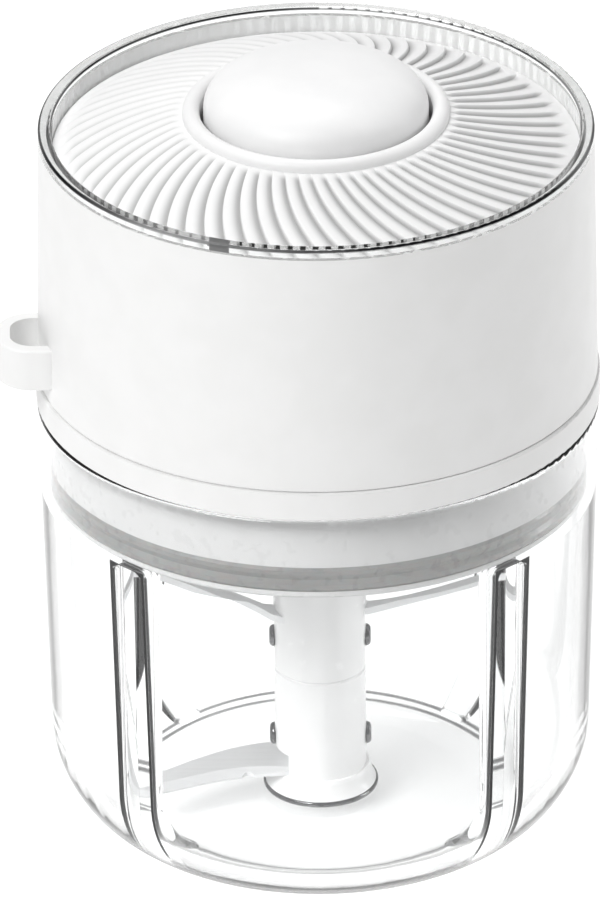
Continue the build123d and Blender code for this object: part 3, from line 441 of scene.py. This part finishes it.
# painted shade and painted reflection: dark for the shade on the rivets and for the clear boss that
# shows dark under the hub's foot ring
metal("steel_painted_shade_and_reflection", (0.10, 0.10, 0.105), (0.24, 0.24, 0.245), 0.12, 0.05,
      stretch=(1, 1, 0.3), scale=500, depth=0.000001)
metal("polished_steel", (0.42, 0.42, 0.43), (0.56, 0.56, 0.57), 0.1, 0.04,
      stretch=(1, 1, 0.2), scale=900, depth=0.000001)
metal("drawn_spring_wire", (0.40, 0.40, 0.40), (0.55, 0.55, 0.54), 0.3, 0.08,
      stretch=(1, 1, 3), scale=1200)
metal("zinc_plated_steel", (0.52, 0.53, 0.54), (0.66, 0.67, 0.67), 0.34, 0.1, scale=1600)
metal("drawn_motor_steel", (0.46, 0.46, 0.455), (0.58, 0.58, 0.575), 0.36, 0.08,
      stretch=(1, 1, 0.05), scale=700)
metal("turned_brass", (0.62, 0.45, 0.20), (0.78, 0.60, 0.30), 0.28, 0.08,
      stretch=(1, 1, 14), scale=500)
print(len(finishes), "finishes so far, the last of them", list(finishes)[-1])

# %% [markdown]
# ## What is shut inside the head
#
# Circuit board, cells, gears and motor are hidden while the head is whole, yet each of them would be
# seen if the head were cut open or taken apart, so none is left as a bare colour. The coloured
# plastics are the moulded recipe again with other numbers. The board has copper tracks that show
# through the green mask as slightly lighter lines, the cells wear a plain shiny sleeve, and
# the magnets are dark sintered ferrite with a coarse grain.

# %% Inner finishes
moulded("matte_black_plastic", (0.022, 0.022, 0.023), (0.035, 0.035, 0.036), 0.5, 0.08)
moulded("moulded_grey_plastic", (0.26, 0.265, 0.27), (0.31, 0.315, 0.32), 0.48, 0.06)
moulded("red_switch_plastic", (0.42, 0.03, 0.02), (0.52, 0.05, 0.035), 0.4, 0.06)
moulded("natural_gear_nylon", (0.70, 0.68, 0.60), (0.77, 0.75, 0.68), 0.42, 0.06)
moulded("sintered_ferrite", (0.03, 0.03, 0.032), (0.07, 0.068, 0.066), 0.75, 0.1,
        grain_scale=900, grain_depth=0.00004)

board = Finish("board_solder_mask")
bricks = board.add("ShaderNodeTexBrick", Vector=board.place, Scale=1.0)
for key, number in (("Brick Width", 0.007), ("Row Height", 0.0016), ("Mortar Size", 0.00018)):
    bricks.inputs[key].default_value = number
tracks = board.calc("SUBTRACT", 1.0, bricks.outputs["Fac"])
board.feed(board.colours(tracks, (0.03, 0.17, 0.07), (0.012, 0.10, 0.035)), "Base Color")
board.feed(board.ramp(board.noise(600, 2), 0.3, 0.7, 0.22, 0.36), "Roughness")
board.relief(tracks, 0.00002)

sleeve = Finish("shrink_sleeve")
sheen = sleeve.ramp(sleeve.noise(120, 2), 0.3, 0.7)
sleeve.feed(sleeve.colours(sheen, (0.03, 0.12, 0.3), (0.05, 0.17, 0.38)), "Base Color")
sleeve.feed(sleeve.ramp(sleeve.noise(350, 3), 0.3, 0.7, 0.16, 0.3), "Roughness")
sleeve.relief(sleeve.noise(260, 2, (1, 1, 0.2)), 0.00003)
print(len(finishes), "finishes made")

# %% [markdown]
# ## Handing out the finishes
#
# The record that comes with the CAD model names a material slot for each piece. Reading those names
# keeps this list short: a slot is matched with a finish once, and every piece of that slot gets it.
# Four pieces have a finish of their own, because they look different from the rest of their slot.
# The plug's grey and the dark of the rivets are painted shade, and the dark of the hub's foot ring is
# a painted reflection, for the clear boss under it that shows dark through the plastic.
# Clear pieces cast no shadow: real clear plastic lets the lamps through, and a path tracer would
# otherwise need very long renders to find that light.

# %% Give each piece its finish
FINISH_OF_SLOT = {
    "clear_plastic": "clear_bowl", "white_shell": "satin_white_shell",
    "white_button": "soft_white_button", "white_deck": "fine_white_deck",
    "seal_silicone": "cloudy_silicone", "cover_silicone": "white_silicone",
    "hub_plastic": "gloss_white_hub", "bright_steel": "polished_steel",
    "blade_steel": "ground_blade_steel", "spring_steel": "drawn_spring_wire",
    "zinc_steel": "zinc_plated_steel", "motor_steel": "drawn_motor_steel",
    "brass_parts": "turned_brass", "black_plastic": "matte_black_plastic",
    "grey_plastic": "moulded_grey_plastic", "red_plastic": "red_switch_plastic",
    "gear_nylon": "natural_gear_nylon", "magnet_ferrite": "sintered_ferrite",
    "board_green": "board_solder_mask", "cell_wrap": "shrink_sleeve",
}
FINISH_OF_NODE = {
    # painted shade: the plug's grey stands for the shade inside the bowl
    "bowl_plug": "plug_white_painted_shade", "clear_rim": "clear_rim_ring",
    # painted shade on the rivets and a painted reflection on the hub's foot ring: both are darkened
    # steel
    "hub_foot_ring": "steel_painted_shade_and_reflection", "blade_rivets": "steel_painted_shade_and_reflection",
}


def dress(piece, finish_name):
    """Give a piece one finish all over."""
    piece.data.materials.clear()
    piece.data.materials.append(finishes[finish_name])


for row in frame["record"]["subparts"]:
    name = row["node"]
    dress(nodes[name], FINISH_OF_NODE.get(name, FINISH_OF_SLOT[row["material_slot"]]))
for name in ("bowl", "clear_rim"):
    nodes[name].visible_shadow = False
print("dressed", len(nodes), "pieces")

# %% [markdown]
# ## The swirl deck
#
# Round the button lies a crown of fine vanes that lean over one another like the gills of a
# mushroom. Each starts with a short steep rise and then falls slowly to the foot of the next, and the
# steep sides make the thin curved lines of the swirl. The CAD deck has plain raised bars in their
# place. Sixty-six separate blades could be modelled and joined here, but they are one moulding, so one
# grid is better: rings outward, points round each ring, and a height at each point that follows a saw
# along the turned angle. The grid takes the place of the CAD deck and is no taller.

# %% The crown and the saw
VANES = 66
STEP_SHARE = 0.09
ROLL = 2.1
SWEEP = math.radians(17.0)
CREST_SHARE = 0.25
CREASE_POWER = 1.4
DECK_IN, DECK_OUT = 19.7 * MM, 38.9 * MM
CROWN_POINTS = ((DECK_OUT, 110.0 * MM), (29.3 * MM, 113.45 * MM), (DECK_IN, 115.9 * MM))


def arc_height(radius):
    """Height of the crown at a radius: the arc through the deck's edge, middle and crest."""
    (x1, z1), (x2, z2), (x3, z3) = CROWN_POINTS
    s1, s2, s3 = x1 * x1 + z1 * z1, x2 * x2 + z2 * z2, x3 * x3 + z3 * z3
    turn = 2 * (x1 * (z2 - z3) + x2 * (z3 - z1) + x3 * (z1 - z2))
    cx = (s1 * (z2 - z3) + s2 * (z3 - z1) + s3 * (z1 - z2)) / turn
    cz = (s1 * (x3 - x2) + s2 * (x1 - x3) + s3 * (x2 - x1)) / turn
    reach = math.hypot(x1 - cx, z1 - cz)
    side = 1 if z2 > cz else -1
    return cz + side * math.sqrt(max(0.0, reach * reach - (radius - cx) ** 2))


def vane_turn(radius):
    """How far a vane has turned at a radius: quicker towards the outside."""
    share = (radius - DECK_IN) / (DECK_OUT - DECK_IN)
    return SWEEP * (0.7 * share + 0.3 * share * share)


def vane_profile(phase):
    """The saw: a short steep rise, then a slow rounded fall over most of the pitch."""
    if phase < STEP_SHARE:
        return 0.5 - 0.5 * math.cos(math.pi * phase / STEP_SHARE)
    return 1 - ((phase - STEP_SHARE) / (1 - STEP_SHARE)) ** ROLL


def groove_share(phase):
    """How far a point has sunk towards the crease: 0 on the crest, 1 at the bottom."""
    if phase < STEP_SHARE:
        return 1 - phase / STEP_SHARE
    past_crest = max(0.0, (phase - STEP_SHARE) / (1 - STEP_SHARE) - CREST_SHARE)
    return past_crest ** CREASE_POWER / (1 - CREST_SHARE) ** CREASE_POWER


print("crown in mm:", round(1000 * arc_height(DECK_OUT), 2), "to", round(1000 * arc_height(DECK_IN), 2))

# %% [markdown]
# ### Points of the grid
#
# The points stand closer together on the steep rise than on the slow fall, so that few of them are
# enough. Towards the button and towards the rim the saw fades to nothing, which leaves two smooth
# edges. A last ring of points hangs straight below the outer edge and closes the side.

# %% Points of the grid
PHASES = (0.0, 0.02, 0.045, 0.07, 0.09, 0.13, 0.22, 0.34, 0.46, 0.58, 0.7, 0.81, 0.9, 0.96)
DECK_RINGS = 40
VANE_RISE = 0.28 * MM
VANE_SINK = 0.36 * MM
DECK_LIFT = 0.01 * MM
FADE_IN = 0.08
FADE_OUT = 0.10
FADED_OUT_AT = 0.93
SKIRT_Z = 107.4 * MM

verts, groove = [], []
count = VANES * len(PHASES)
for ring in range(DECK_RINGS + 1):
    share = ring / DECK_RINGS
    radius = DECK_IN + (DECK_OUT - DECK_IN) * share
    fade = min(1.0, share / FADE_IN) * min(1.0, max(0.0, FADED_OUT_AT - share) / FADE_OUT)
    for step in range(count):
        vane, inner = divmod(step, len(PHASES))
        phase = PHASES[inner]
        angle = (vane + phase) * 2 * math.pi / VANES + vane_turn(radius)
        saw = VANE_RISE - (VANE_RISE + VANE_SINK) * (1 - vane_profile(phase))
        z = arc_height(radius) + DECK_LIFT + fade * saw
        groove.append(fade * groove_share(phase))
        verts.append((radius * math.cos(angle), radius * math.sin(angle), z))
skirt = len(verts)
for x, y, z in verts[-count:]:
    verts.append((x, y, SKIRT_Z))
    groove.append(0.0)
print("deck has", len(verts), "points,", count, "on each ring")

# %% Join the points and put the deck in place
faces = []
for ring in range(DECK_RINGS):
    for step in range(count):
        after = (step + 1) % count
        faces.append((ring * count + step, (ring + 1) * count + step,
                      (ring + 1) * count + after, ring * count + after))
top_ring = DECK_RINGS * count
for step in range(count):
    after = (step + 1) % count
    faces.append((top_ring + step, skirt + step, skirt + after, top_ring + after))
deck_mesh = bpy.data.meshes.new("swirl_vane_deck")
deck_mesh.from_pydata(verts, [], faces)
deck_mesh.update()
deck = bpy.data.objects.new("swirl_vane_deck", deck_mesh)
bpy.context.scene.collection.objects.link(deck)
shade_by_angle(deck_mesh)
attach(deck, "head")
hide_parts("swirl_deck")
print("deck has", len(faces), "faces")

# %% [markdown]
# ### Grey in the creases
#
# Light comes mostly from one side, so relief alone shows the vanes on one half of the deck and loses
# them on the other. Each point therefore keeps a number called groove, 0 on a crest and 1 at the
# bottom of a crease, and the deck's shader greys the white by it. It stands for the light that a deep
# narrow crease holds back.

# %% Grey in the creases
GROOVE_GREY = (0.16, 0.16, 0.16)
GROOVE_STRENGTH = 0.58

deck_mesh.attributes.new("groove", "FLOAT", "POINT").data.foreach_set("value", groove)
groove_depth = deck_white.add("ShaderNodeAttribute", {"attribute_name": "groove"}).outputs["Fac"]
deck_white.shade(deck_white.ramp(groove_depth, 0.0, 1.0, 0.0, GROOVE_STRENGTH), GROOVE_GREY)
dress(deck, "fine_white_deck")
print("creases greyed by up to", GROOVE_STRENGTH)

# %% [markdown]
# ## Floor, light and camera
#
# A product picture on white has light from all round, one larger soft source to give the shell its
# form, and dark cards beside it so that white on white still has an edge. The sky gives the light
# from all round, a wide sun stands for the large soft source because it lights the whole floor
# evenly, and two soft boxes give the gloss something to mirror. The cards are hidden from the camera
# and from light that has passed through the clear plastic, so they never stand in a view. The floor
# gives off some light of its own, because a plain white floor would come out grey.

# %% Floor
FLOOR_REACH = 14.0
FLOOR_Z = -0.3 * MM

floor_finish = Finish("pale_floor")
cloud = floor_finish.noise(6, 2)
floor_finish.feed(floor_finish.colours(cloud, (0.50, 0.50, 0.50), (0.52, 0.52, 0.52)), "Base Color")
floor_finish.fixed(Roughness=0.9, Specular_IOR_Level=0.1)
floor_finish.fixed(Emission_Color=(1, 1, 1, 1), Emission_Strength=0.68)
floor_mesh = bpy.data.meshes.new("studio_floor")
corners = [(-FLOOR_REACH, -FLOOR_REACH, FLOOR_Z), (FLOOR_REACH, -FLOOR_REACH, FLOOR_Z),
           (FLOOR_REACH, FLOOR_REACH, FLOOR_Z), (-FLOOR_REACH, FLOOR_REACH, FLOOR_Z)]
floor_mesh.from_pydata(corners, [], [(0, 1, 2, 3)])
floor_plane = bpy.data.objects.new("studio_floor", floor_mesh)
bpy.context.scene.collection.objects.link(floor_plane)
dress(floor_plane, "pale_floor")
print("floor at", FLOOR_Z)

# %% Light
SKY_STRENGTH = 0.36
LAMPS_AIM = Vector((0, 0, 0.07))

studio = bpy.data.worlds.new("studio")
studio.use_nodes = True
sky = studio.node_tree.nodes["Background"]
sky.inputs["Color"].default_value = (1, 1, 1, 1)
sky.inputs["Strength"].default_value = SKY_STRENGTH
bpy.context.scene.world = studio
bpy.context.scene.view_settings.view_transform = "Standard"


def lamp(name, kind, place, energy, **settings):
    """A lamp at place, turned towards the middle of the object."""
    data = bpy.data.lights.new(name, kind)
    data.energy = energy
    for key, value in settings.items():
        setattr(data, key, value)
    made = bpy.data.objects.new(name, data)
    made.location = place
    made.rotation_euler = (LAMPS_AIM - Vector(place)).to_track_quat("-Z", "Y").to_euler()
    bpy.context.scene.collection.objects.link(made)


lamp("wide_sun", "SUN", (-0.62, -0.70, 1.05), 1.85, angle=math.radians(28))
lamp("top_box", "AREA", (-0.15, 0.35, 0.9), 3.0, shape="RECTANGLE", size=0.5, size_y=0.35)
lamp("edge_strip", "AREA", (0.62, 0.12, 0.25), 1.1, shape="RECTANGLE", size=0.08, size_y=0.6)

# %% Dark cards beside the object
card_finish = Finish("black_card")
cloud = card_finish.noise(20, 2)
card_finish.feed(card_finish.colours(cloud, (0.01, 0.01, 0.01), (0.02, 0.02, 0.02)), "Base Color")
card_finish.fixed(Roughness=0.9)


def card(name, middle, width, height):
    """An upright card that faces the object, unseen by the camera and through clear plastic."""
    away = Vector((middle[0], middle[1], 0)).normalized()
    along = Vector((-away.y, away.x, 0)) * width / 2
    up = Vector((0, 0, height / 2))
    centre = Vector(middle)
    mesh = bpy.data.meshes.new(name)
    card_corners = [centre - along - up, centre + along - up, centre + along + up, centre - along + up]
    mesh.from_pydata(card_corners, [], [(0, 1, 2, 3)])
    made = bpy.data.objects.new(name, mesh)
    bpy.context.scene.collection.objects.link(made)
    dress(made, "black_card")
    made.visible_camera = False
    made.visible_transmission = False
    made.visible_shadow = False


card("card_right", (0.22, -0.20, 0.12), 0.20, 0.30)
card("card_left", (-0.42, 0.05, 0.16), 0.10, 0.30)
print("cards placed")

# %% [markdown]
# The camera looks down at the object from the front with a very long lens, so the round rims are
# clean ellipses with hardly any perspective. A long lens from three metres is kept rather than a true
# orthographic one, because turntable views then frame themselves by the same rule.

# %% Camera
CAMERA_RISE = math.radians(27.5)
CAMERA_ROLL = math.radians(-0.45)
CAMERA_AWAY = 3.2
VIEW_HEIGHT = 133.41 * MM
LOOK_AT = Vector((-0.0026, 0, 0.0601))
camera_data = bpy.data.cameras.new("studio_camera")
camera_data.sensor_width = 36.0
camera_data.lens = camera_data.sensor_width * CAMERA_AWAY / VIEW_HEIGHT
camera_data.clip_start, camera_data.clip_end = 0.1, 40.0
camera = bpy.data.objects.new("studio_camera", camera_data)
back = Vector((0, -math.cos(CAMERA_RISE), math.sin(CAMERA_RISE)))
camera.location = LOOK_AT + CAMERA_AWAY * back
turn = (-back).to_track_quat("-Z", "Y")
camera.rotation_euler = turn.to_euler()
camera.rotation_euler.rotate_axis("Z", CAMERA_ROLL)
bpy.context.scene.collection.objects.link(camera)
bpy.context.scene.camera = camera
print("lens of", round(camera_data.lens), "mm")
